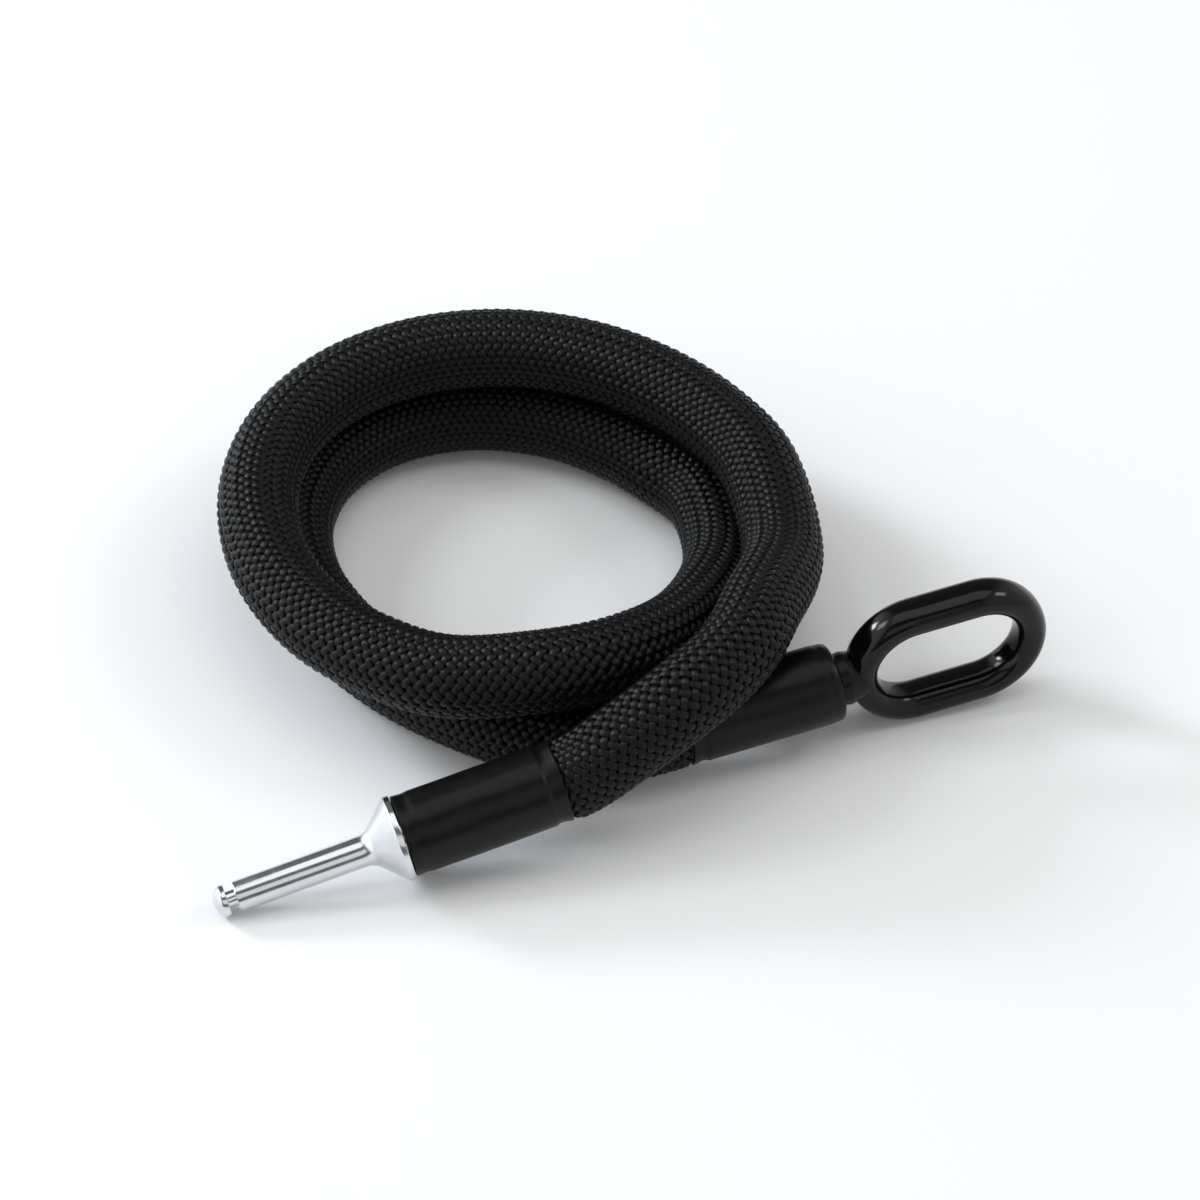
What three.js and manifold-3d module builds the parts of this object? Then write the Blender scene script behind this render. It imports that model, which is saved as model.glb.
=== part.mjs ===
// Plug-in security cable: a textile-sleeved cable lying in two stacked turns, with a swivelling
// lock pin on one end and a coated oval eye on the other.
// Millimetres, +Z up. The origin is on the table, under the middle of the two end fittings.

import * as THREE from 'three';
import { mergeVertices } from 'three/addons/utils/BufferGeometryUtils.js';
import Module from 'manifold-3d';

const wasm = await Module();
wasm.setup();

// ---------------------------------------------------------------- driving dimensions

const GAP = 0.3; // clearance between touching pieces

// Cable
const CABLE_RADIUS = 12.5;
const SLEEVE_WALL = 1.6;
const CUT_LAYER_RADIUS = 10;
const CUT_LAYER_WALL = 1.9;
const FLAME_LAYER_RADIUS = 7.2;
const FLAME_LAYER_WALL = 1.3;
const CORE_RADIUS = 5.2;
const CABLE_STEPS = 60;
const SLEEVE_SIDES = 12;
const LAYER_SIDES = 8;
const STRAIGHT_EXIT = 5; // how far the cable runs straight out of a cover
const TURN_PITCH = 25.4; // centre distance of two touching turns
const REST_HEIGHT = CABLE_RADIUS + 0.15; // of the centre line where the cable lies on the table

// End fittings: each is built along its own +Y, which runs from its front into the cable
const COVER_END = 50.4; // where the sleeve leaves the cover
const COVER_RADIUS = 12.3;
const COVER_LIP_RADIUS = 12.0;
const COVER_BORE = 11.5;
const COVER_FRONT = 2;
const FERRULE_FRONT = 3.2;
const FERRULE_END = 46;
const FERRULE_RADIUS = 11.2;
const FERRULE_FRONT_BORE = 9.6;
const FERRULE_SOCKET_BORE = 10.2;
const WEB_START = 19.5;
const WEB_END = 22.5;
const WEB_BORE = 5.8;
const SPINDLE_RADIUS = 5;
const SPINDLE_BORE = SPINDLE_RADIUS + GAP;
const BUSH_END = 12;
const WASHER_RADIUS = 8.6;
const WASHER_THICKNESS = 1.2;
const CLIP_THICKNESS = 1.2;
const CORE_STOP_END = 36;

// Lock pin
const TIP_REACH = 56;
const TIP_FLAT_RADIUS = 1.4;
const NOSE_RADIUS = 4.8;
const NOSE_REACH = 52.9;
const NOSE_LENGTH = 1;
const GROOVE_RADIUS = 2.5;
const GROOVE_WIDTH = 2.8;
const PIN_RADIUS = 4.65;
const CONE_LENGTH = 8.4;
const CONE_FILLET = 2.2;
const RIM_RADIUS = 12.9;
const RIM_THICKNESS = 1.7;
const SPIGOT_LENGTH = 17.6;
const CLIP_GROOVE_RADIUS = 4.1;

// Oval eye, in its own plane
const EYE_LENGTH = 63.4;
const EYE_WIDTH = 44;
const EYE_BAR_WIDTH = 9.5;
const EYE_BAR_HEIGHT = 12.6;
const EYE_CORNER = 4;
const EYE_START = 1.4; // from the fitting's front to the near end of the oval
const COATING = 0.7;
const BOOT_RADIUS = 7.85;
const BOOT_FLARE = 0.3;
const BOOT_REACH = 9;
const NUT_RADIUS = 9.2;
const NUT_THICKNESS = 4.6;

// How the fittings lie: the direction from the fitting into the cable, and the tilt above the table
const PIN_HEADING = 17;
const PIN_TILT = 11;
const EYE_HEADING = 197.9;
const EYE_TILT = -4.9;
const EYE_ROLL = -90; // the oval stands on its edge
const PIN_AT = [-70.1, -33.2]; // the fittings' fronts
const EYE_AT = [60.9, 28.3, 20.1];

// The two turns, each a near-round oval: centre, mean radius, ovality and the bearing of its long axis
const LOWER_TURN = { centre: [-35.2, 87.5], radius: 69.8, ovality: 0.11, bearing: 134 };
const UPPER_TURN = { centre: [-36.3, 84.6], radius: 77.2, ovality: 0.05, bearing: 149.5 };
const TURN_STEP = 20; // degrees between route points

// The stretches that are not coiled, as route points
const EYE_LEAD = [[-4.4, 9.3, 13.3], [-20.4, 9.7, REST_HEIGHT], [-39.5, 16.4, REST_HEIGHT]];
const CROSSOVER = [[26.5, 83.7, 14], [15.3, 47.2, 25.1], [-3.7, 23.1, 35.1], [-26.3, 12.8, 38.4]];
const PIN_LEAD = [[44.1, 67.9, 34.5], [36.4, 36.3, 41.3], [28.1, 15, 43], [12.8, -1.4, 40.2], [-3.8, -11.1, 32.6]];

const ROUTE_START = WEB_END + 2 * GAP; // where the steel core begins in either fitting
const EXIT_AT = COVER_END + STRAIGHT_EXIT;
const LAYERS_START = CORE_STOP_END + GAP;

const SEGMENTS = 32;
const INNER_SEGMENTS = 20;

// ---------------------------------------------------------------- helpers

const rad = THREE.MathUtils.degToRad;

// One closed, welded mesh with its faces pointing out
function weld(geometry) {
  geometry.deleteAttribute('normal');
  geometry.deleteAttribute('uv');
  const welded = mergeVertices(geometry, 1e-4);
  const index = welded.getIndex().array;
  const kept = [];
  for (let i = 0; i < index.length; i += 3) {
    const [a, b, c] = [index[i], index[i + 1], index[i + 2]];
    if (a !== b && b !== c && c !== a) kept.push(a, b, c);
  }
  welded.setIndex(signedVolume(welded, kept) > 0 ? kept : kept.reverse());
  return welded;
}

function signedVolume(geometry, index) {
  const position = geometry.getAttribute('position');
  const [a, b, c] = [new THREE.Vector3(), new THREE.Vector3(), new THREE.Vector3()];
  let volume = 0;
  for (let i = 0; i < index.length; i += 3) {
    a.fromBufferAttribute(position, index[i]);
    b.fromBufferAttribute(position, index[i + 1]);
    c.fromBufferAttribute(position, index[i + 2]);
    volume += a.dot(b.cross(c)) / 6;
  }
  return volume;
}

function toManifold(geometry) {
  const welded = weld(geometry);
  return new wasm.Manifold(new wasm.Mesh({
    numProp: 3,
    vertProperties: new Float32Array(welded.getAttribute('position').array),
    triVerts: new Uint32Array(welded.getIndex().array),
  }));
}

function fromManifold(manifold) {
  const { vertProperties, triVerts } = manifold.getMesh();
  const geometry = new THREE.BufferGeometry();
  geometry.setAttribute('position', new THREE.BufferAttribute(vertProperties, 3));
  geometry.setIndex(new THREE.BufferAttribute(triVerts, 1));
  return geometry;
}

function mesh(name, geometry, material) {
  geometry.computeVertexNormals();
  const result = new THREE.Mesh(geometry, material);
  result.name = name;
  return result;
}

// A turned solid from [radius, y] points
function turned(profile, segments = INNER_SEGMENTS) {
  const points = profile.map(([radius, y]) => new THREE.Vector2(radius, y));
  return weld(new THREE.LatheGeometry(points, segments));
}

function sleeve(inner, outer, start, end, segments = INNER_SEGMENTS) {
  return turned([[inner, start], [outer, start], [outer, end], [inner, end], [inner, start]], segments);
}

// A flat plate of a given outline, standing across +Y from start
function plate(shape, start, thickness, curveSegments = 12) {
  const geometry = new THREE.ExtrudeGeometry(shape, { depth: thickness, bevelEnabled: false, curveSegments });
  geometry.rotateX(-Math.PI / 2);
  geometry.translate(0, start, 0);
  return weld(geometry);
}

// A group whose +Y points along heading and tilt, with +Z as near to up as it can be
function fittingFrame(position, heading, tilt) {
  const along = new THREE.Vector3(
    Math.cos(rad(heading)) * Math.cos(rad(tilt)),
    Math.sin(rad(heading)) * Math.cos(rad(tilt)),
    Math.sin(rad(tilt)),
  );
  const side = new THREE.Vector3().crossVectors(along, new THREE.Vector3(0, 0, 1)).normalize();
  const up = new THREE.Vector3().crossVectors(side, along);
  const frame = new THREE.Group();
  frame.position.copy(position);
  frame.quaternion.setFromRotationMatrix(new THREE.Matrix4().makeBasis(side, along, up));
  return { frame, along };
}

const metal = (color, roughness) => new THREE.MeshStandardMaterial({ color, roughness, metalness: 1 });
const plain = (color, roughness) => new THREE.MeshStandardMaterial({ color, roughness, metalness: 0 });

const zinc = metal(0xd6dadf, 0.25);
const steel = metal(0x8f9398, 0.4);
const bronze = metal(0xa8834a, 0.4);
const shrink = plain(0x121214, 0.5);
const gloss = plain(0x08080a, 0.12);
const textile = plain(0x17181b, 0.7);
const fibre = plain(0xd8d4c4, 0.8);
const aramid = plain(0xc2a24c, 0.8);
const thread = plain(0x202124, 0.8);

// ---------------------------------------------------------------- pin end

function lockPin() {
  const grooveStart = -NOSE_REACH + NOSE_LENGTH;
  const shankStart = grooveStart + GROOVE_WIDTH;
  const coneStart = -CONE_LENGTH;
  const filletStart = coneStart - CONE_FILLET;
  const clipStart = BUSH_END + GAP + WASHER_THICKNESS;
  const clipEnd = clipStart + CLIP_THICKNESS + 2 * GAP;
  return turned([
    [0, -TIP_REACH], [TIP_FLAT_RADIUS, -TIP_REACH], [3.4, -TIP_REACH + 1.1], [NOSE_RADIUS - 0.2, -NOSE_REACH - 0.5],
    [NOSE_RADIUS, -NOSE_REACH], [NOSE_RADIUS, grooveStart],
    [GROOVE_RADIUS, grooveStart], [GROOVE_RADIUS, shankStart],
    [PIN_RADIUS - 0.3, shankStart], [PIN_RADIUS, shankStart + 0.3],
    [PIN_RADIUS, filletStart], [PIN_RADIUS + 0.45, coneStart - 0.4], [PIN_RADIUS + 1.6, coneStart + 1.1],
    [RIM_RADIUS - 0.35, -0.35], [RIM_RADIUS, 0], [RIM_RADIUS, RIM_THICKNESS],
    [SPINDLE_RADIUS, RIM_THICKNESS], [SPINDLE_RADIUS, clipStart],
    [CLIP_GROOVE_RADIUS, clipStart], [CLIP_GROOVE_RADIUS, clipEnd],
    [SPINDLE_RADIUS, clipEnd], [SPINDLE_RADIUS, SPIGOT_LENGTH - 0.6],
    [SPINDLE_RADIUS - 0.6, SPIGOT_LENGTH], [0, SPIGOT_LENGTH],
  ], SEGMENTS);
}

// An open ring that snaps into the spigot's groove
function retainingRing() {
  const opening = rad(25);
  const inner = CLIP_GROOVE_RADIUS + GAP;
  const outer = 7.4;
  const shape = new THREE.Shape();
  shape.absarc(0, 0, outer, opening, 2 * Math.PI - opening, false);
  shape.absarc(0, 0, inner, 2 * Math.PI - opening, opening, true);
  return plate(shape, BUSH_END + 2 * GAP + WASHER_THICKNESS, CLIP_THICKNESS, 10);
}

// ---------------------------------------------------------------- pieces that both ends share

function washer() {
  return sleeve(SPINDLE_BORE, WASHER_RADIUS, BUSH_END + GAP / 2, BUSH_END + GAP / 2 + WASHER_THICKNESS);
}

// The piece in the ferrule's mouth that carries the spindle
function bush() {
  return sleeve(SPINDLE_BORE, FERRULE_FRONT_BORE - GAP, FERRULE_FRONT, BUSH_END - GAP / 2);
}

function crimpFerrule() {
  return turned([
    [FERRULE_FRONT_BORE, FERRULE_FRONT], [FERRULE_RADIUS - 0.5, FERRULE_FRONT], [FERRULE_RADIUS, FERRULE_FRONT + 0.5],
    [FERRULE_RADIUS, FERRULE_END], [FERRULE_SOCKET_BORE, FERRULE_END], [FERRULE_SOCKET_BORE, WEB_END],
    [WEB_BORE, WEB_END], [WEB_BORE, WEB_START], [FERRULE_FRONT_BORE, WEB_START],
    [FERRULE_FRONT_BORE, FERRULE_FRONT],
  ]);
}

// The swaged stop on the end of the steel core
function coreStop() {
  return sleeve(CORE_RADIUS + 0.5, FERRULE_SOCKET_BORE - 0.5, WEB_END + GAP, CORE_STOP_END);
}

// The whipping that binds the end of the braid
function sleeveBinding() {
  return sleeve(FERRULE_SOCKET_BORE, FERRULE_RADIUS, FERRULE_END + GAP, COVER_END - GAP);
}

// Heat-shrunk cover. Its front is given as [radius, y] points, because the two ends differ there.
function cover(front) {
  return turned([
    ...front,
    [COVER_LIP_RADIUS, 6], [COVER_RADIUS, 8], [COVER_RADIUS, FERRULE_END - 1.6],
    [COVER_LIP_RADIUS, FERRULE_END + 0.4], [COVER_LIP_RADIUS, COVER_END], [COVER_BORE, COVER_END],
    front[0],
  ], SEGMENTS);
}

const pinCover = () => cover([[COVER_BORE, COVER_FRONT], [COVER_RADIUS - 0.1, COVER_FRONT], [COVER_LIP_RADIUS, 4]]);

const eyeCover = () => cover([
  [COVER_BORE, COVER_FRONT + 0.8], [BOOT_RADIUS + GAP, COVER_FRONT + 0.8], [BOOT_RADIUS + GAP, COVER_FRONT],
  [10.4, COVER_FRONT], [11.6, COVER_FRONT + 0.7], [COVER_LIP_RADIUS, 4.4],
]);

// ---------------------------------------------------------------- eye end

// An oval ring with a rounded-rectangle section, offset outward on every side by grow
function ovalRing(grow, segments = 10) {
  const corner = EYE_CORNER + grow;
  const straight = (EYE_LENGTH - EYE_WIDTH) / 2;
  const middle = -(EYE_START + EYE_LENGTH / 2);
  const oval = (path, radius) => {
    path.absarc(0, middle + straight, radius, 0, Math.PI, false);
    path.absarc(0, middle - straight, radius, Math.PI, 2 * Math.PI, false);
    path.closePath();
    return path;
  };
  const outline = oval(new THREE.Shape(), EYE_WIDTH / 2 + grow - corner);
  outline.holes.push(oval(new THREE.Path(), EYE_WIDTH / 2 - EYE_BAR_WIDTH - grow + corner));
  const depth = EYE_BAR_HEIGHT - 2 * EYE_CORNER;
  const geometry = new THREE.ExtrudeGeometry(outline, {
    depth, bevelThickness: corner, bevelSize: corner, bevelSegments: 3, curveSegments: segments,
  });
  geometry.translate(0, 0, -depth / 2);
  return toManifold(geometry);
}

const rod = (radius, start, end) => toManifold(turned([[0, start], [radius, start], [radius, end], [0, end]]));

const insideOval = -(EYE_START + EYE_BAR_WIDTH / 2);

function eyeLink() {
  const stem = rod(SPINDLE_RADIUS, insideOval, SPIGOT_LENGTH + 1);
  return fromManifold(ovalRing(-COATING - GAP).add(stem));
}

function eyeCoating() {
  const cavity = ovalRing(-COATING).add(rod(SPINDLE_BORE, insideOval, 0));
  return fromManifold(ovalRing(0).subtract(cavity));
}

// Rubber boot whose end is saddled over the near end of the oval
function neckBoot() {
  const back = FERRULE_FRONT - 1;
  const blank = turned([
    [SPINDLE_BORE, back], [BOOT_RADIUS, back], [BOOT_RADIUS, 0.6], [BOOT_RADIUS + BOOT_FLARE, -1],
    [BOOT_RADIUS - 2 * BOOT_FLARE, insideOval], [SPINDLE_BORE, -BOOT_REACH], [SPINDLE_BORE, back],
  ], SEGMENTS);
  return fromManifold(toManifold(blank).subtract(ovalRing(GAP)));
}

function hexNut() {
  const shape = new THREE.Shape();
  for (let corner = 0; corner < 6; corner++) {
    const angle = rad(60 * corner);
    const [x, y] = [NUT_RADIUS * Math.cos(angle), NUT_RADIUS * Math.sin(angle)];
    if (corner === 0) shape.moveTo(x, y);
    else shape.lineTo(x, y);
  }
  shape.closePath();
  shape.holes.push(new THREE.Path().absarc(0, 0, SPINDLE_BORE, 0, 2 * Math.PI, true));
  return plate(shape, BUSH_END + 2 * GAP + WASHER_THICKNESS, NUT_THICKNESS);
}

// ---------------------------------------------------------------- cable

// A point of a turn at a bearing in degrees; bearings fall as the cable runs from the eye to the pin
function turnPoint(turn, bearing) {
  const radius = turn.radius * (1 + turn.ovality * Math.cos(rad(2 * (bearing - turn.bearing))));
  return [turn.centre[0] + radius * Math.cos(rad(bearing)), turn.centre[1] + radius * Math.sin(rad(bearing))];
}

// The lower turn lies on the table
function lowerTurn() {
  const points = [];
  for (let bearing = -115; bearing >= -335; bearing -= TURN_STEP) {
    points.push([...turnPoint(LOWER_TURN, bearing), REST_HEIGHT]);
  }
  return points;
}

// The upper turn rests on the lower one, so its height follows from how far it stands outside it
function upperTurn() {
  const points = [];
  for (let bearing = -105; bearing >= -345; bearing -= TURN_STEP) {
    const [x, y] = turnPoint(UPPER_TURN, bearing);
    const [lowerX, lowerY] = turnPoint(LOWER_TURN, bearing);
    const aside = Math.hypot(x - lowerX, y - lowerY);
    points.push([x, y, REST_HEIGHT + Math.sqrt(TURN_PITCH ** 2 - aside ** 2)]);
  }
  return points;
}

// The route with so many millimetres left off at each end. All the layers share their stations
// outside the covers, so that their walls stay parallel.
class Stretch extends THREE.Curve {
  constructor(route, trim) {
    super();
    this.route = route;
    this.trim = trim;
  }

  alongRoute(u) {
    const length = this.route.getLength();
    const free = EXIT_AT - ROUTE_START;
    const step = 1 / CABLE_STEPS;
    const lerp = THREE.MathUtils.mapLinear;
    if (u < step) return lerp(u, 0, step, this.trim, free) / length;
    if (u > 1 - step) return lerp(u, 1 - step, 1, length - free, length - this.trim) / length;
    return lerp(u, step, 1 - step, free, length - free) / length;
  }

  getPointAt(u, target) {
    return this.route.getPointAt(this.alongRoute(u), target);
  }

  getTangentAt(u, target) {
    return this.route.getTangentAt(this.alongRoute(u), target);
  }
}

function cableRoute(pinEnd, eyeEnd) {
  const inFitting = ({ frame, along }, y) => frame.position.clone().addScaledVector(along, y);
  const straight = [ROUTE_START, COVER_END - 12, EXIT_AT];
  const points = [
    ...straight.map((y) => inFitting(eyeEnd, y)),
    ...[...EYE_LEAD, ...lowerTurn(), ...CROSSOVER, ...upperTurn(), ...PIN_LEAD].map((p) => new THREE.Vector3(...p)),
    ...straight.map((y) => inFitting(pinEnd, y)).reverse(),
  ];
  const route = new THREE.CatmullRomCurve3(points, false, 'catmullrom', 0.5);
  route.arcLengthDivisions = 2000;
  return route;
}

// A round section as a polygon, hollow if an inner radius is given
function section(outer, inner, sides) {
  const ring = (radius) => Array.from({ length: sides }, (_, side) => {
    const angle = (2 * Math.PI * side) / sides;
    return new THREE.Vector2(radius * Math.cos(angle), radius * Math.sin(angle));
  });
  const shape = new THREE.Shape(ring(outer));
  if (inner > 0) shape.holes.push(new THREE.Path(ring(inner).reverse()));
  return shape;
}

function alongCable(route, trim, outer, inner, sides) {
  return weld(new THREE.ExtrudeGeometry(section(outer, inner, sides), {
    steps: CABLE_STEPS, extrudePath: new Stretch(route, trim),
  }));
}

// ---------------------------------------------------------------- assembly

const pinHeight = NOSE_RADIUS * Math.cos(rad(PIN_TILT)) + NOSE_REACH * Math.sin(rad(PIN_TILT));
const pinEnd = fittingFrame(new THREE.Vector3(...PIN_AT, pinHeight), PIN_HEADING, PIN_TILT);
const eyeEnd = fittingFrame(new THREE.Vector3(...EYE_AT), EYE_HEADING, EYE_TILT);

pinEnd.frame.add(
  mesh('lock_pin', lockPin(), zinc),
  mesh('retaining_ring', retainingRing(), steel),
  mesh('thrust_washer', washer(), bronze),
  mesh('swivel_bush', bush(), bronze),
  mesh('pin_crimp_ferrule', crimpFerrule(), steel),
  mesh('pin_core_stop', coreStop(), steel),
  mesh('pin_sleeve_binding', sleeveBinding(), thread),
  mesh('pin_cover', pinCover(), shrink),
);

const eye = new THREE.Group();
eye.rotation.y = rad(EYE_ROLL);
eye.add(
  mesh('eye_link', eyeLink(), steel),
  mesh('eye_coating', eyeCoating(), gloss),
  mesh('eye_neck_boot', neckBoot(), shrink),
);
eyeEnd.frame.add(
  eye,
  mesh('eye_end_plug', bush(), steel),
  mesh('eye_washer', washer(), steel),
  mesh('eye_nut', hexNut(), steel),
  mesh('eye_crimp_ferrule', crimpFerrule(), steel),
  mesh('eye_core_stop', coreStop(), steel),
  mesh('eye_sleeve_binding', sleeveBinding(), thread),
  mesh('eye_cover', eyeCover(), shrink),
);

const route = cableRoute(pinEnd, eyeEnd);
const layer = (name, material, from, outer, inner, sides = LAYER_SIDES) =>
  mesh(name, alongCable(route, from - ROUTE_START, outer, inner, sides), material);

const group = new THREE.Group();
group.add(
  pinEnd.frame,
  eyeEnd.frame,
  layer('steel_core', steel, ROUTE_START, CORE_RADIUS, 0),
  layer('flame_resistant_layer', aramid, LAYERS_START, FLAME_LAYER_RADIUS, FLAME_LAYER_RADIUS - FLAME_LAYER_WALL),
  layer('cut_resistant_layer', fibre, LAYERS_START, CUT_LAYER_RADIUS, CUT_LAYER_RADIUS - CUT_LAYER_WALL),
  layer('braided_sleeve', textile, COVER_END + GAP, CABLE_RADIUS, CABLE_RADIUS - SLEEVE_WALL, SLEEVE_SIDES),
);

export default group;
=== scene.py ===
"""A plug-in lock cable: a braided cable in a loose coil, with a swivelling pin and a coated oval eye."""

import math

import bpy
import numpy as np
from mathutils import Matrix, Vector


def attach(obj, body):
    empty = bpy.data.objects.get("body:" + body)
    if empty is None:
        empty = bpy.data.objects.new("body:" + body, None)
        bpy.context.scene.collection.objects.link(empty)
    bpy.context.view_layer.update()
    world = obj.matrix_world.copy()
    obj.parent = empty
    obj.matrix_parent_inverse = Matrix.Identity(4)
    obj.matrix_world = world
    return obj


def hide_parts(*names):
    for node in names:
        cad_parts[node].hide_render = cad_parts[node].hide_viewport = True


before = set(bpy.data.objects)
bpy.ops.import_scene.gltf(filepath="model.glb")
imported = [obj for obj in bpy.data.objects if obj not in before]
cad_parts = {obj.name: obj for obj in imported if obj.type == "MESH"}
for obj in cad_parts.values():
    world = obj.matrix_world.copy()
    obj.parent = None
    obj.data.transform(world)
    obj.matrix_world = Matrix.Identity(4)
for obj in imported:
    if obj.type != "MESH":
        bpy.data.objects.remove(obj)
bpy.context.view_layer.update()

MM = 0.001

# ---------------------------------------------------------------- camera

# The camera looks 43 degrees down along +Y at a point in front of the coil's middle.
ELEVATION = math.radians(43)
DISTANCE = 1.5
TARGET = Vector((-0.0111, 0.0708, 0.01265))

camera_data = bpy.data.cameras.new("camera")
camera_data.lens = 147.15
camera_data.sensor_width = 36
camera_data.clip_end = 20
camera = bpy.data.objects.new("camera", camera_data)
camera.location = TARGET + DISTANCE * Vector((0, -math.cos(ELEVATION), math.sin(ELEVATION)))
camera.rotation_euler = (math.pi / 2 - ELEVATION, 0, 0)
bpy.context.collection.objects.link(camera)
bpy.context.scene.camera = camera
bpy.context.scene.view_settings.view_transform = "Standard"

# ---------------------------------------------------------------- the fittings' places, in millimetres

COVER_END = 50.4
ROUTE_START = 23.1  # where the steel core begins in either fitting
LAYERS_START = 36.3  # where the fibre layers begin in either fitting
REST_HEIGHT = 12.65  # of the cable's middle, lying on the table
BEFORE_END, AFTER_END = 12, 5  # the route has points on a cover's axis this far from its end, on either side


def fitting(origin, heading, tilt, roll=0):
    """A matrix whose +Y runs from the fitting's front into the cable, in metres."""
    heading, tilt = math.radians(heading), math.radians(tilt)
    along = Vector((math.cos(heading) * math.cos(tilt), math.sin(heading) * math.cos(tilt), math.sin(tilt)))
    side = along.cross(Vector((0, 0, 1))).normalized()
    up = side.cross(along)
    turn = Matrix((side, along, up)).transposed().to_4x4()
    return Matrix.Translation(Vector(origin) * MM) @ turn @ Matrix.Rotation(math.radians(roll), 4, "Y")


NOSE_RADIUS = 4.8
NOSE_REACH = 52.9  # from the collar's rim to the widest part of the nose, which touches the table
PIN_HEADING, PIN_TILT = 17, 11
EYE_AT, EYE_HEADING, EYE_TILT = (60.9, 28.3, 20.1), 197.9, -4.9

pin_tilt = math.radians(PIN_TILT)
pin_height = NOSE_RADIUS * math.cos(pin_tilt) + NOSE_REACH * math.sin(pin_tilt)
PIN_PLACE = fitting((-70.1, -33.2, pin_height), PIN_HEADING, PIN_TILT)
COVER_PLACE = fitting(EYE_AT, EYE_HEADING, EYE_TILT)
EYE_PLACE = fitting(EYE_AT, EYE_HEADING, EYE_TILT, roll=-90)  # the oval stands on its edge


def on_axis(place, y):
    return np.array(place @ Vector((0, y * MM, 0))) / MM


# ---------------------------------------------------------------- the cable's route, in millimetres

LOWER_TURN = dict(centre=(-35.2, 87.5), radius=69.8, ovality=0.11, bearing=134)
UPPER_TURN = dict(centre=(-36.3, 84.6), radius=77.2, ovality=0.05, bearing=149.5)
TURN_PITCH = 25.4  # between the middles of two turns that touch
TURN_STEP = 20  # degrees between route points
EYE_LEAD = [(-4.4, 9.3, 13.3), (-20.4, 9.7, REST_HEIGHT), (-39.5, 16.4, REST_HEIGHT)]
CROSSOVER = [(26.5, 83.7, 14), (15.3, 47.2, 25.1), (-3.7, 23.1, 35.1), (-26.3, 12.8, 38.4)]
PIN_LEAD = [(44.1, 67.9, 34.5), (36.4, 36.3, 41.3), (28.1, 15, 43), (12.8, -1.4, 40.2),
            (-3.8, -11.1, 32.6)]


def turn_point(turn, bearing):
    """A point of a near-round turn at a bearing in degrees."""
    angle = math.radians(bearing)
    radius = turn["radius"] * (1 + turn["ovality"] * math.cos(2 * (angle - math.radians(turn["bearing"]))))
    return turn["centre"][0] + radius * math.cos(angle), turn["centre"][1] + radius * math.sin(angle)


def route_points():
    straight = [ROUTE_START, COVER_END - BEFORE_END, COVER_END + AFTER_END]
    points = [on_axis(COVER_PLACE, y) for y in straight]
    points += EYE_LEAD
    for bearing in range(-115, -336, -TURN_STEP):
        points.append((*turn_point(LOWER_TURN, bearing), REST_HEIGHT))
    points += CROSSOVER
    for bearing in range(-105, -346, -TURN_STEP):
        x, y = turn_point(UPPER_TURN, bearing)
        lower_x, lower_y = turn_point(LOWER_TURN, bearing)
        aside = math.hypot(x - lower_x, y - lower_y)
        points.append((x, y, REST_HEIGHT + math.sqrt(TURN_PITCH**2 - aside**2)))
    points += PIN_LEAD
    points += [on_axis(PIN_PLACE, y) for y in reversed(straight)]
    return np.array(points, float)


def smooth_line(points, steps=80):
    """The Catmull-Rom curve through the points, densely."""
    ends = np.vstack([2 * points[0] - points[1], points, 2 * points[-1] - points[-2]])
    line = []
    for a, b, c, d in zip(ends[:-3], ends[1:-2], ends[2:-1], ends[3:]):
        t = np.linspace(0, 1, steps, endpoint=False)[:, None]
        square, cube = 2 * a - 5 * b + 4 * c - d, 3 * b - a - 3 * c + d
        line.append(0.5 * (2 * b + (c - a) * t + square * t**2 + cube * t**3))
    return np.vstack([*line, points[-1:]])


class Route:
    """The centre line by its length, with a frame that doesn't twist about it."""

    def __init__(self, line):
        self.line = line
        self.at = np.concatenate([[0], np.cumsum(np.linalg.norm(np.diff(line, axis=0), axis=1))])
        tangent = np.gradient(line, self.at, axis=0)
        self.tangent = tangent / np.linalg.norm(tangent, axis=1)[:, None]
        normal = np.cross(self.tangent[0], (0, 0, 1.0))
        normals = []
        for t in self.tangent:
            normal = normal - t * (normal @ t)
            normal /= np.linalg.norm(normal)
            normals.append(normal)
        self.normal = np.array(normals)

    @property
    def length(self):
        return self.at[-1]

    def _read(self, values, s):
        return np.stack([np.interp(s, self.at, values[:, k]) for k in range(3)], -1)

    def frame(self, s):
        """Centre, tangent, normal and binormal at these lengths."""
        centre, tangent, normal = (self._read(v, s) for v in (self.line, self.tangent, self.normal))
        tangent /= np.linalg.norm(tangent, axis=-1, keepdims=True)
        normal -= tangent * (normal * tangent).sum(-1, keepdims=True)
        normal /= np.linalg.norm(normal, axis=-1, keepdims=True)
        return centre, tangent, normal, np.cross(tangent, normal)

    def place(self, s, angle, radius):
        """Points at an angle and radius round the centre line."""
        centre, outward = self.around(s, angle)
        return centre + outward * radius[..., None]

    def around(self, s, angle):
        """The centre, and the direction outward at an angle round it."""
        centre, _, normal, binormal = self.frame(s)
        return centre, normal * np.cos(angle)[..., None] + binormal * np.sin(angle)[..., None]


route = Route(smooth_line(route_points()))

# ---------------------------------------------------------------- mesh helpers


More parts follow.
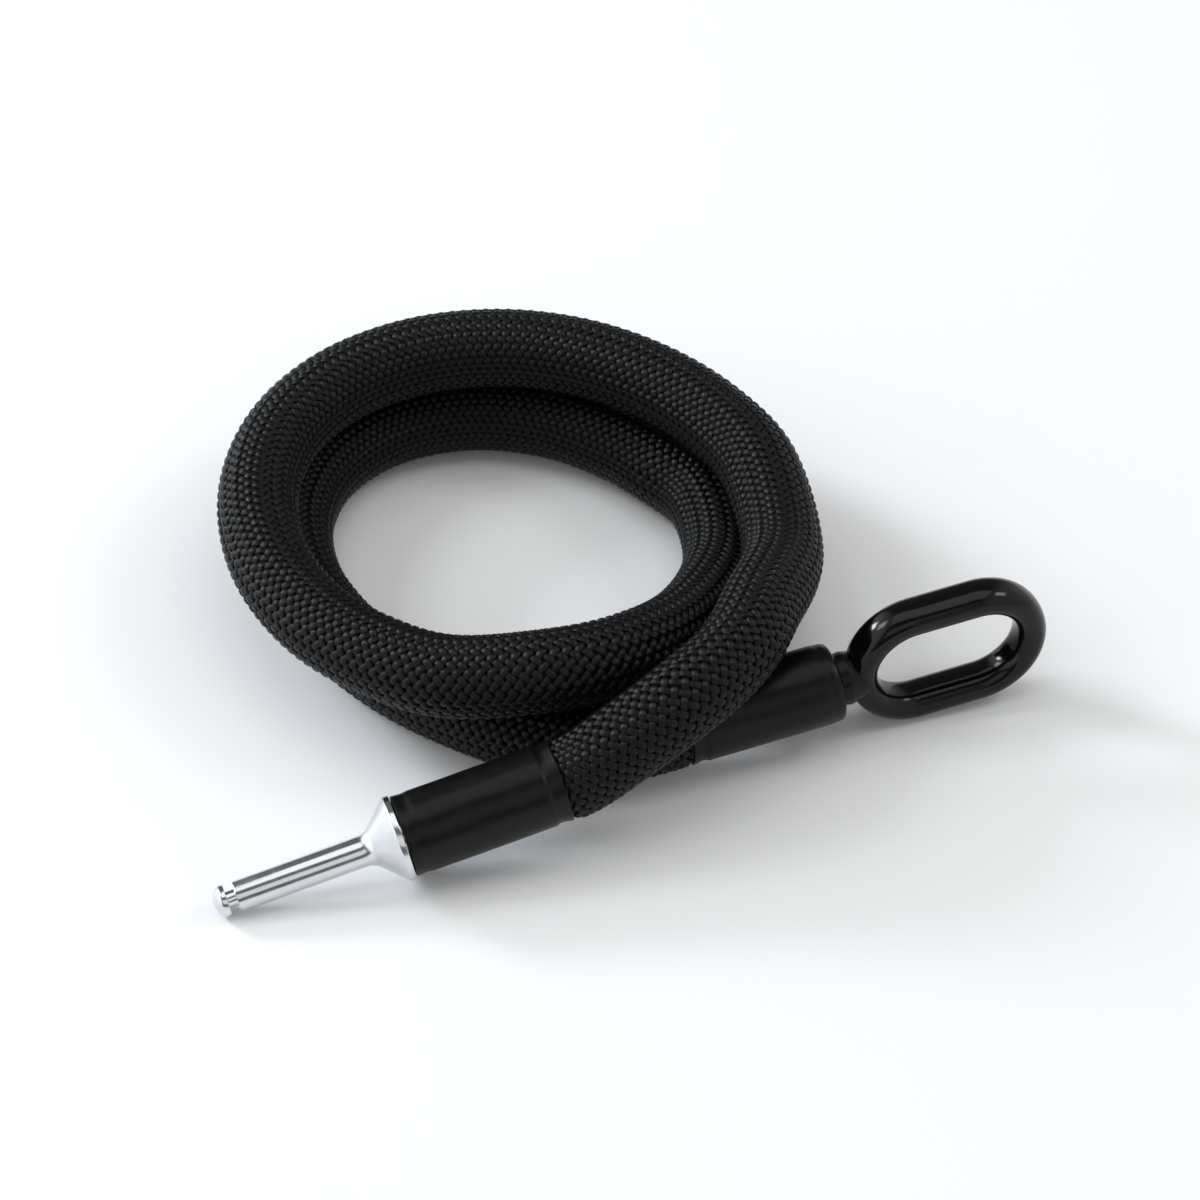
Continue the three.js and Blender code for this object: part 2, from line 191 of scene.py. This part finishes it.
def new_object(name, vertices, faces, material, place=None, uv=None, sharp=None):
    """A smooth mesh object. Vertices are in millimetres, in the place's own frame if one is given."""
    vertices = np.asarray(vertices, float) * MM
    if place is not None:
        turn = np.array(place)
        vertices = vertices @ turn[:3, :3].T + turn[:3, 3]
    mesh = bpy.data.meshes.new(name)
    mesh.from_pydata(vertices.tolist(), [], faces)
    mesh.materials.append(material)
    if uv is not None:
        corners = np.empty(len(mesh.loops), np.int32)
        mesh.loops.foreach_get("vertex_index", corners)
        mesh.uv_layers.new(name="uv").data.foreach_set("uv", np.asarray(uv, np.float32)[corners].ravel())
    mesh.shade_smooth()
    if sharp is not None:
        mesh.set_sharp_from_angle(angle=math.radians(sharp))
    mesh.validate()
    piece = bpy.data.objects.new(name, mesh)
    bpy.context.collection.objects.link(piece)
    return piece


def revolve(name, profile, material, place, segments=160, sharp=28, warp=None):
    """A turned piece from [radius, y] points. The ends close on the axis, or the profile is a closed ring."""
    profile = np.array(profile, float)
    closed = np.allclose(profile[0], profile[-1])
    if closed:
        profile = profile[:-1]
    angles = 2 * np.pi * np.arange(segments) / segments
    vertices, rows = [], []
    for radius, y in profile:
        if radius < 1e-6:
            rows.append([len(vertices)] * segments)
            vertices.append((0, y, 0))
        else:
            rows.append(list(range(len(vertices), len(vertices) + segments)))
            vertices += [(radius * math.cos(a), y, radius * math.sin(a)) for a in angles]
    faces = []
    pairs = list(zip(rows, rows[1:] + rows[:1])) if closed else list(zip(rows, rows[1:]))
    for lower, upper in pairs:
        for i in range(segments):
            j = (i + 1) % segments
            face = [lower[i], lower[j], upper[j], upper[i]]
            face = list(dict.fromkeys(face))
            if len(face) > 2:
                faces.append(face[::-1])
    vertices = np.array(vertices)
    round_and_along = np.stack([np.arctan2(vertices[:, 2], vertices[:, 0]) / 60, vertices[:, 1] / 10], 1)
    if warp is not None:
        vertices = warp(vertices)
    return new_object(name, vertices, faces, material, place, uv=round_and_along, sharp=sharp)


def rounded(profile, radius, steps=5):
    """The profile with its corners rounded, apart from the two ends of an open one."""
    points = [np.array(p, float) for p in profile]
    closed = np.allclose(points[0], points[-1])
    result = []
    body = points[:-1] if closed else points
    for i, corner in enumerate(body):
        if not closed and i in (0, len(body) - 1):
            result.append(corner)
            continue
        before, after = body[i - 1], body[(i + 1) % len(body)]
        into, out = corner - before, after - corner
        reach = min(radius, 0.45 * np.linalg.norm(into), 0.45 * np.linalg.norm(out))
        start = corner - into / np.linalg.norm(into) * reach
        end = corner + out / np.linalg.norm(out) * reach
        for t in np.linspace(0, 1, steps):
            result.append((1 - t) ** 2 * start + 2 * t * (1 - t) * corner + t**2 * end)
    if closed:
        result.append(result[0])
    return result


def tube(name, start, end, outer, inner, material, sides=48, step=2.5):
    """A hollow tube along the route, closed at both ends."""
    stations = np.linspace(start, end, int((end - start) / step) + 1)
    angles = 2 * np.pi * np.arange(sides) / sides
    s, a = np.meshgrid(stations, angles, indexing="ij")
    walls = [outer, inner]
    vertices = np.concatenate([route.place(s, a, np.full(s.shape, r)).reshape(-1, 3) for r in walls])
    n, rows = sides, len(stations)
    inside, far = n * rows, (rows - 1) * n
    faces = []
    for base in (0, inside):
        for i in range(rows - 1):
            near, ahead = base + i * n, base + (i + 1) * n
            for j in range(n):
                k = (j + 1) % n
                face = (near + j, near + k, ahead + k, ahead + j)
                faces.append(face[::-1] if base == 0 else face)
    for j in range(n):
        k = (j + 1) % n
        faces.append((j, k, inside + k, inside + j))
        faces.append((far + k, far + j, inside + far + j, inside + far + k))
    uv = np.stack([s, np.broadcast_to(angles * outer, s.shape)], -1).reshape(-1, 2) / 10
    return new_object(name, vertices, faces, material, uv=np.tile(uv, (len(walls), 1)))


def strands(name, s, angle, radius, width, height, section, material):
    """Closed yarns round the route. s, angle, radius, width and height are (strand, step) arrays."""
    middle, outward = route.around(s, angle)
    centres = middle + outward * radius[..., None]
    ahead = np.gradient(centres, axis=1)
    ahead /= np.linalg.norm(ahead, axis=2, keepdims=True)
    across = np.cross(ahead, outward)
    across /= np.linalg.norm(across, axis=2, keepdims=True)
    outward = np.cross(across, ahead)

    count, steps = centres.shape[:2]
    m = len(section)
    offset = across[:, :, None] * (section[:, 0] * width[..., None])[..., None]
    offset = offset + outward[:, :, None] * (section[:, 1] * height[..., None])[..., None]
    vertices = (centres[:, :, None] + offset).reshape(-1, 3)
    lengths = np.linalg.norm(np.diff(centres, axis=1), axis=2)
    along = np.concatenate([np.zeros((count, 1)), np.cumsum(lengths, 1)], 1)
    uv = np.empty((count, steps, m, 2))
    # Each yarn has its own stretch of the pattern, so that the yarns of one piece differ.
    uv[..., 0] = along[..., None] / 10 + np.arange(count)[:, None, None] * 7.3
    uv[..., 1] = section[:, 0] * 0.5 + 0.5
    i, j, k = np.meshgrid(np.arange(count), np.arange(steps - 1), np.arange(m), indexing="ij")
    base = (i * steps + j) * m
    right = (k + 1) % m
    quads = np.stack([base + k, base + right, base + m + right, base + m + k], -1).reshape(-1, 4)
    caps = np.arange(count)[:, None] * steps * m + np.arange(m)
    faces = quads.tolist() + caps[:, ::-1].tolist() + (caps + (steps - 1) * m).tolist()
    return new_object(name, vertices, faces, material, uv=uv.reshape(-1, 2))


# ---------------------------------------------------------------- materials


class Shader:
    """A node material with short calls for its links."""

    def __init__(self, name):
        self.material = bpy.data.materials.new(name)
        self.material.use_nodes = True
        self.tree = self.material.node_tree
        self.principled = self.tree.nodes["Principled BSDF"]

    def node(self, kind, inputs=(), **settings):
        node = self.tree.nodes.new("ShaderNode" + kind)
        for key, value in settings.items():
            setattr(node, key, value)
        for socket, value in dict(inputs).items():
            self.feed(node.inputs[socket], value)
        return node

    def feed(self, socket, value):
        if isinstance(value, bpy.types.NodeSocket):
            self.tree.links.new(value, socket)
        elif hasattr(value, "outputs"):
            self.tree.links.new(value.outputs[0], socket)
        else:
            socket.default_value = value

    def set(self, **values):
        for key, value in values.items():
            self.feed(self.principled.inputs[key.replace("_", " ")], value)

    def ramp(self, factor, stops):
        node = self.node("ValToRGB", {"Fac": factor})
        elements = node.color_ramp.elements
        while len(elements) < len(stops):
            elements.new(0.5)
        for element, (position, color) in zip(elements, stops):
            element.position = position
            element.color = (*color, 1)
        return node.outputs["Color"]

    def map_range(self, value, low, high, to_low, to_high):
        return self.node("MapRange", {"Value": value, "From Min": low, "From Max": high,
                                      "To Min": to_low, "To Max": to_high}).outputs["Result"]

    def scaled(self, coordinates, scale):
        return self.node("Mapping", {"Vector": coordinates, "Scale": scale}).outputs["Vector"]

    def local(self):
        return self.node("TexCoord").outputs["Object"]

    def uv(self):
        return self.node("UVMap", uv_map="uv").outputs["UV"]

    def noise(self, vector, scale, detail=2, roughness=0.5):
        return self.node("TexNoise", {"Vector": vector, "Scale": scale, "Detail": detail,
                                      "Roughness": roughness}).outputs["Fac"]

    def bump(self, height, strength, distance):
        inputs = {"Height": height, "Strength": strength, "Distance": distance}
        return self.node("Bump", inputs).outputs["Normal"]


def turned_metal(name, color, low, high):
    """Metal with fine turning rings round its axis, and slightly uneven polish."""
    shader = Shader(name)
    local = shader.local()
    rings = shader.noise(shader.scaled(shader.uv(), (0, 14, 0)), 4, 3, 0.6)
    patches = shader.noise(local, 260, 3, 0.6)
    shade = shader.ramp(patches, [(0.3, [c * 0.93 for c in color]), (0.7, color)])
    shader.set(Base_Color=shade, Metallic=1.0, Roughness=shader.map_range(patches, 0.3, 0.7, low, high),
               Normal=shader.bump(rings, 0.16, 0.00006))
    return shader.material


def plain_metal(name, color, low, high):
    """Metal with a fine grain and slightly uneven colour."""
    shader = Shader(name)
    local = shader.local()
    grain = shader.noise(local, 900, 4, 0.7)
    patches = shader.noise(local, 120, 3, 0.5)
    shade = shader.ramp(patches, [(0.3, [c * 0.8 for c in color]), (0.7, color)])
    shader.set(Base_Color=shade, Metallic=1.0, Roughness=shader.map_range(grain, 0.3, 0.7, low, high),
               Normal=shader.bump(grain, 0.2, 0.00008))
    return shader.material


def heat_shrink(name):
    """Satin black polymer, with a faint orange peel and soft waves."""
    shader = Shader(name)
    local = shader.local()
    peel = shader.noise(local, 700, 3, 0.6)
    marks = shader.noise(local, 180, 3, 0.5)
    broad = shader.noise(local, 60, 2, 0.5)
    shade = shader.ramp(broad, [(0.3, (0.0022, 0.0021, 0.0021)), (0.7, (0.0038, 0.0036, 0.0036))])
    height = shader.node("Math", {0: peel, 1: marks}, operation="ADD").outputs[0]
    shader.set(Base_Color=shade, Roughness=shader.map_range(marks, 0.3, 0.7, 0.28, 0.36),
               Specular_IOR_Level=0.2, Normal=shader.bump(height, 0.15, 0.0001))
    return shader.material


def dip_coating(name):
    """Thick glossy black plastic, slightly wavy as it set."""
    shader = Shader(name)
    local = shader.local()
    waves = shader.noise(local, 90, 2, 0.4)
    dust = shader.noise(local, 1600, 2, 0.5)
    shade = shader.ramp(waves, [(0.3, (0.0016, 0.0015, 0.0015)), (0.7, (0.0026, 0.0024, 0.0024))])
    shader.set(Base_Color=shade, Roughness=shader.map_range(dust, 0.35, 0.75, 0.1, 0.15),
               Specular_IOR_Level=0.27, Normal=shader.bump(waves, 0.2, 0.0004))
    return shader.material


def yarn(name, dark, light, roughness=(0.3, 0.46), metallic=0.0):
    """A flat bundle of parallel filaments that run along the yarn, by its own length and width."""
    shader = Shader(name)
    uv = shader.uv()
    filaments = shader.noise(shader.scaled(uv, (1.6, 9, 1)), 2.2, 3, 0.65)
    tone = shader.noise(shader.scaled(uv, (0.9, 0.25, 1)), 3.0, 2, 0.5)
    fuzz = shader.noise(shader.scaled(uv, (9, 20, 1)), 3.0, 2, 0.5)
    mixed = shader.node("Math", {0: filaments, 1: tone}, operation="MULTIPLY").outputs[0]
    shade = shader.ramp(mixed, [(0.12, dark), (0.42, light)])
    faint_fuzz = shader.map_range(fuzz, 0, 1, 0, 0.25)
    height = shader.node("Math", {0: filaments, 1: faint_fuzz}, operation="ADD").outputs[0]
    shader.set(Base_Color=shade, Metallic=metallic,
               Roughness=shader.map_range(filaments, 0.3, 0.7, *roughness),
               Specular_IOR_Level=0.2, Normal=shader.bump(height, 0.75, 0.0001),
               Anisotropic=0.8, Anisotropic_Rotation=0.25,
               Tangent=shader.node("Tangent", direction_type="UV_MAP", uv_map="uv"))
    return shader.material


def filler(name, dark, light):
    """A matt surface of fine fibres, for the weave under the yarns and for the bindings."""
    shader = Shader(name)
    local = shader.local()
    weave = shader.noise(local, 900, 3, 0.6)
    shader.set(Base_Color=shader.ramp(weave, [(0.3, dark), (0.7, light)]), Roughness=0.85,
               Normal=shader.bump(weave, 0.5, 0.0002))
    return shader.material


ZINC = turned_metal("bright_zinc", (0.7, 0.72, 0.745), 0.13, 0.2)
STEEL = plain_metal("plain_steel", (0.42, 0.43, 0.45), 0.32, 0.5)
BRONZE = plain_metal("sintered_bronze", (0.55, 0.36, 0.16), 0.4, 0.55)
SHRINK = heat_shrink("heat_shrink")
GLOSS = dip_coating("dip_coating")
BRAID = yarn("braid_yarn", (0.0005, 0.0005, 0.0006), (0.0034, 0.0033, 0.0033))
BACKING = filler("braid_backing", (0.0008, 0.0008, 0.0009), (0.0016, 0.0016, 0.0018))
THREAD = filler("binding_thread", (0.006, 0.006, 0.007), (0.02, 0.02, 0.022))
FIBRE = yarn("cut_resistant_yarn", (0.45, 0.42, 0.33), (0.72, 0.69, 0.58), (0.5, 0.7))
ARAMID = yarn("flame_resistant_yarn", (0.40, 0.25, 0.05), (0.66, 0.46, 0.13), (0.5, 0.7))
WIRE = yarn("steel_wire", (0.30, 0.31, 0.33), (0.55, 0.56, 0.58), (0.25, 0.4), metallic=1.0)

# ---------------------------------------------------------------- the cable

CARRIERS = 16  # strands each way
WRAP = 52.0  # length of one full turn of a strand
YARN_SECTION = np.array([(-1, -0.3), (-0.7, 0.6), (0, 1), (0.7, 0.6), (1, -0.3), (0, -0.8)])
BRAID_RADIUS = 11.66  # of the strands' middles
WAVE = 0.40  # how far a strand rises and falls as it crosses the others
STEPS_PER_CROSSING = 6

COVERED = 6.0  # how far the braid runs on under each cover
sleeve_start = COVER_END - COVERED - ROUTE_START
sleeve_end = route.length - sleeve_start


def neck(s):
    """How far the covers squeeze the braid in near each end."""
    inside = np.minimum(s - sleeve_start, sleeve_end - s) - COVERED
    return 1.2 / (1 + np.exp((inside - 1.5) / 0.45))


def braid(name, way, lanes):
    """Strands that wind one way. At a given angle round the cable they always lie over, or always under."""
    turns = (sleeve_end - sleeve_start) / WRAP
    steps = int(turns * CARRIERS * STEPS_PER_CROSSING) + 1
    lane = np.array(lanes) * 2 * np.pi / CARRIERS
    s = np.broadcast_to(np.linspace(sleeve_start, sleeve_end, steps), (len(lanes), steps))
    angle = way * (2 * np.pi * s / WRAP) + lane[:, None]
    lift = np.cos(CARRIERS * angle) * way
    lift = 1.15 * lift / np.sqrt(1 + 0.3225 * lift**2)  # flatter at its highest and lowest, and never past 1
    radius = BRAID_RADIUS + WAVE * lift - neck(s)
    return strands(name, s, angle, radius, 1.18 + 0.10 * lift, 0.44 + 0.05 * lift, YARN_SECTION, BRAID)


def wire_rope(name, outer_wires, ring, wire_radius, lay, start, end, step=3.0):
    """Thick wires laid side by side in a helix round one middle wire."""
    steps = int((end - start) / step) + 1
    total = outer_wires + 1
    s = np.broadcast_to(np.linspace(start, end, steps), (total, steps))
    angle = 2 * np.pi * s / lay + (np.arange(total) * 2 * np.pi / outer_wires)[:, None]
    radius = np.full(s.shape, float(ring))
    radius[-1] = 0
    turn = -2 * np.pi * np.arange(8) / 8
    section = np.stack([np.cos(turn), np.sin(turn)], 1)
    size = np.full(s.shape, float(wire_radius))
    return strands(name, s, angle, radius, size, size, section, WIRE)


layers_start = LAYERS_START - ROUTE_START
layers_end = route.length - layers_start

backing = tube("sleeve_backing", sleeve_start, sleeve_end, 10.95, 10.35, BACKING)
braids = [braid(f"braid_{side}_{half}", way, range(first, CARRIERS, 2))
          for side, way in (("right", 1), ("left", -1)) for half, first in (("odd", 1), ("even", 0))]
cut_layer = tube("cut_layer", layers_start, layers_end, 9.9, 8.15, FIBRE)
flame_layer = tube("flame_layer", layers_start, layers_end, 7.15, 5.95, ARAMID)
core = wire_rope("core_strands", 6, 3.45, 1.7, 95, 0.3, route.length - 0.3)

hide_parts("braided_sleeve")
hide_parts("cut_resistant_layer")
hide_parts("flame_resistant_layer")
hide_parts("steel_core")
cable_pieces = [backing, *braids, cut_layer, flame_layer, core]
for piece in cable_pieces:
    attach(piece, "cable")

free = np.linspace(COVER_END - ROUTE_START, route.length - (COVER_END - ROUTE_START), 500)
centre_line = route.frame(free)[0] * MM

# ---------------------------------------------------------------- pin end

PIN_RADIUS = 4.65
GROOVE_RADIUS, GROOVE_FRONT, GROOVE_BACK = 2.5, -51.9, -49.1
NOSE_DEPTH = 3.1
FILLET_START, FILLET_LENGTH = -10.8, 3.5
SPIGOT_RADIUS = 5.0


def lock_pin():
    """From the nose backwards: groove, shank, fillet, cone, rim, and the spigot inside the cover."""
    nose = [(NOSE_RADIUS * math.sin(t), -NOSE_REACH - NOSE_DEPTH * math.cos(t))
            for t in np.linspace(0.3, math.pi / 2, 14)]
    groove = [(NOSE_RADIUS, -NOSE_REACH), (NOSE_RADIUS, GROOVE_FRONT), (GROOVE_RADIUS, GROOVE_FRONT),
              (GROOVE_RADIUS, GROOVE_BACK), (PIN_RADIUS, GROOVE_BACK), (PIN_RADIUS, FILLET_START)]
    fillet = [(PIN_RADIUS + 1.15 * t**2.2, FILLET_START + FILLET_LENGTH * t) for t in np.linspace(0.1, 1, 8)]
    collar = [(5.9, -7.2), (12.55, -0.45), (12.9, -0.05), (12.9, 1.55), (12.75, 1.7), (SPIGOT_RADIUS, 1.7)]
    spigot = [(SPIGOT_RADIUS, 1.8), (SPIGOT_RADIUS, 13.5), (4.1, 13.5), (4.1, 15.3), (SPIGOT_RADIUS, 15.3),
              (SPIGOT_RADIUS, 17.1), (4.5, 17.6), (0, 17.6)]
    profile = [(0, -56.0), (1.0, -55.98), *nose, *rounded(groove, 0.18), *fillet, *rounded(collar, 0.2),
               *rounded(spigot, 0.1)]
    return revolve("pin_visual", profile, ZINC, PIN_PLACE, segments=192, sharp=30)


def soften(amount, seed):
    """Moves a turned skin in and out a little, as heat-shrink lies over what is under it."""
    def warp(v):
        angle = np.arctan2(v[:, 2], v[:, 0])
        wave = np.sin(3 * angle + seed) * np.sin(v[:, 1] * 0.17 + seed)
        wave = wave + 0.5 * np.sin(5 * angle + v[:, 1] * 0.31 + 2 * seed)
        scale = 1 + amount * wave / np.maximum(np.hypot(v[:, 0], v[:, 2]), 1)
        return np.stack([v[:, 0] * scale, v[:, 1], v[:, 2] * scale], 1)
    return warp


def dense(profile, step=1.0):
    """The profile with extra points on its long straight parts."""
    result = [np.array(profile[0], float)]
    for point in profile[1:]:
        point, start = np.array(point, float), result[-1]
        count = max(1, int(np.linalg.norm(point - start) / step))
        result += [start + (point - start) * t for t in np.linspace(0, 1, count + 1)[1:]]
    return result


def cover(name, place, front, seed):
    """A heat-shrink cover: its own front, then a straight body, a shoulder, and a lip over the braid."""
    outside = [(12.02, 5.6), (12.25, 7.4), (12.3, 44.3), (12.34, 45.2), (11.85, 46.3), (11.82, 47.3)]
    lip = [(12.2, 49.6), (12.36, COVER_END), (11.6, COVER_END)]
    bore = [(11.45, 47.0), (11.45, 6.0)]
    skin = dense(rounded([*front, *outside, *lip, *bore, front[0]], 0.35, 6))
    return revolve(name, skin, SHRINK, place, segments=160, sharp=40, warp=soften(0.045, seed))


pin = lock_pin()
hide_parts("lock_pin")
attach(pin, "pin")

pin_cover = cover("pin_cover_skin", PIN_PLACE, [(11.5, 2.05), (12.2, 2.05), (12.22, 3.4), (12.05, 4.4)], 0.4)
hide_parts("pin_cover")
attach(pin_cover, "cable")

# ---------------------------------------------------------------- eye end

eye_cover = cover("eye_cover_skin", COVER_PLACE,
                  [(11.5, 2.9), (8.2, 2.9), (8.2, 2.0), (10.3, 2.0), (11.6, 2.7), (12.0, 4.2)], 1.7)
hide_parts("eye_cover")
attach(eye_cover, "cable")

EYE_LENGTH, EYE_WIDTH, BAR_WIDTH, BAR_HEIGHT, EYE_START = 63.4, 44.0, 9.5, 12.6, 1.4


def eye_path(count):
    """The oval bar's middle line: points, and the directions outward from the oval."""
    radius = (EYE_WIDTH - BAR_WIDTH) / 2
    straight = (EYE_LENGTH - EYE_WIDTH) / 2
    middle = -(EYE_START + EYE_LENGTH / 2)
    half_turn = math.pi * radius
    total = 2 * half_turn + 4 * straight
    points, outward = [], []
    for d in np.arange(count) / count * total:
        if d < half_turn:
            angle, shift = d / radius, straight
        elif d < half_turn + 2 * straight:
            angle, shift = math.pi, straight - (d - half_turn)
        elif d < 2 * half_turn + 2 * straight:
            angle, shift = math.pi + (d - half_turn - 2 * straight) / radius, -straight
        else:
            angle, shift = 0, -straight + (d - 2 * half_turn - 2 * straight)
        direction = np.array((math.cos(angle), math.sin(angle), 0))
        points.append(np.array((0, middle + shift, 0)) + radius * direction)
        outward.append(direction)
    return np.array(points), np.array(outward)


def bar_section(count=48, power=2.2):
    """The bar's outline, a softly squared oval."""
    t = 2 * np.pi * np.arange(count) / count
    c, s = np.cos(t), np.sin(t)
    x = BAR_WIDTH / 2 * np.sign(c) * np.abs(c) ** (2 / power)
    z = BAR_HEIGHT / 2 * np.sign(s) * np.abs(s) ** (2 / power)
    return np.stack([x, z], 1)


def oval_eye():
    points, outward = eye_path(240)
    section = bar_section()
    n, m = len(points), len(section)
    vertices = points[:, None] + outward[:, None] * section[None, :, :1]
    vertices = vertices + np.array((0, 0, 1.0)) * section[None, :, 1:]
    faces = []
    for i in range(n):
        for j in range(m):
            after, beside = (i + 1) % n, (j + 1) % m
            faces.append((i * m + j, after * m + j, after * m + beside, i * m + beside))
    return new_object("eye_coat", vertices.reshape(-1, 3), faces, GLOSS, EYE_PLACE)


eye = oval_eye()
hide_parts("eye_coating")
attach(eye, "cable")

boot = [(5.3, -9.0), (6.95, -6.2), (7.6, -3.6), (8.2, -1.0), (7.95, 0.4), (7.85, 2.2), (5.3, 2.2),
        (5.3, -9.0)]
neck_piece = revolve("eye_neck", rounded(boot, 0.5), SHRINK, EYE_PLACE, segments=120, sharp=40)
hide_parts("eye_neck_boot")
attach(neck_piece, "cable")

# ---------------------------------------------------------------- pieces inside, as the CAD has them

INSIDE = {
    STEEL: ["eye_link", "eye_end_plug", "eye_washer", "eye_nut", "eye_crimp_ferrule", "eye_core_stop",
            "pin_crimp_ferrule", "pin_core_stop", "retaining_ring"],
    BRONZE: ["thrust_washer", "swivel_bush"],
    THREAD: ["pin_sleeve_binding", "eye_sleeve_binding"],
}
for material, names in INSIDE.items():
    for name in names:
        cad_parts[name].data.materials.clear()
        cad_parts[name].data.materials.append(material)

# ---------------------------------------------------------------- floor, world and lights

floor_shader = Shader("floor")
floor_shader.set(Base_Color=(0.9, 0.9, 0.9, 1), Roughness=0.6)
FLOOR_HALF = 4000  # millimetres
corners = [(x * FLOOR_HALF, y * FLOOR_HALF, 0) for x, y in ((-1, -1), (1, -1), (1, 1), (-1, 1))]
floor = new_object("floor", corners, [(0, 1, 2, 3)], floor_shader.material)

# Pale walls to the left and right, with dark ones behind and in front.
world = bpy.data.worlds.new("world")
world.use_nodes = True
nodes, links = world.node_tree.nodes, world.node_tree.links
direction = nodes.new("ShaderNodeTexCoord").outputs["Generated"]
split = nodes.new("ShaderNodeSeparateXYZ")
across = nodes.new("ShaderNodeMapRange")
walls = nodes.new("ShaderNodeValToRGB")
links.new(direction, split.inputs[0])
links.new(split.outputs["X"], across.inputs["Value"])
across.inputs["From Min"].default_value = -1
links.new(across.outputs["Result"], walls.inputs["Fac"])
BRIGHTNESS = {0.0: 1.0, 0.18: 0.95, 0.28: 0.1, 0.66: 0.1, 0.8: 0.5, 1.0: 0.55}  # from the left to the right
ramp = walls.color_ramp
for position in list(BRIGHTNESS)[1:-1]:
    ramp.elements.new(position)
for stop, (position, value) in zip(ramp.elements, BRIGHTNESS.items()):
    stop.position, stop.color = position, (value * 0.97, value * 0.99, value, 1)
links.new(walls.outputs["Color"], nodes["Background"].inputs["Color"])
nodes["Background"].inputs["Strength"].default_value = 1.45
bpy.context.scene.world = world


def softbox(name, location, target, size, power, color=(1, 1, 1)):
    """A rectangular area light that faces its target."""
    light = bpy.data.lights.new(name, "AREA")
    light.shape = "RECTANGLE"
    light.size, light.size_y = size
    light.energy = power
    light.color = color
    holder = bpy.data.objects.new(name, light)
    holder.location = location
    holder.rotation_euler = (Vector(target) - Vector(location)).to_track_quat("-Z", "Y").to_euler()
    bpy.context.collection.objects.link(holder)


softbox("ceiling", (0, 0.2, 2.15), (0, 0.07, 0), (2.2, 1.6), 13.5)
softbox("left", (-1.4, 0.35, 1.5), (0, 0.07, 0), (0.6, 0.5), 7, (0.92, 0.96, 1))
softbox("right", (1.4, 0.3, 1.5), (0, 0.07, 0), (0.6, 0.5), 5)
softbox("front", (0.1, -1.4, 1.1), (0, 0.05, 0), (1.5, 0.9), 3.2)
softbox("key", (-1.55, 0.85, 0.85), (-0.03, 0.07, 0), (0.45, 0.4), 18, (0.8, 0.89, 1))
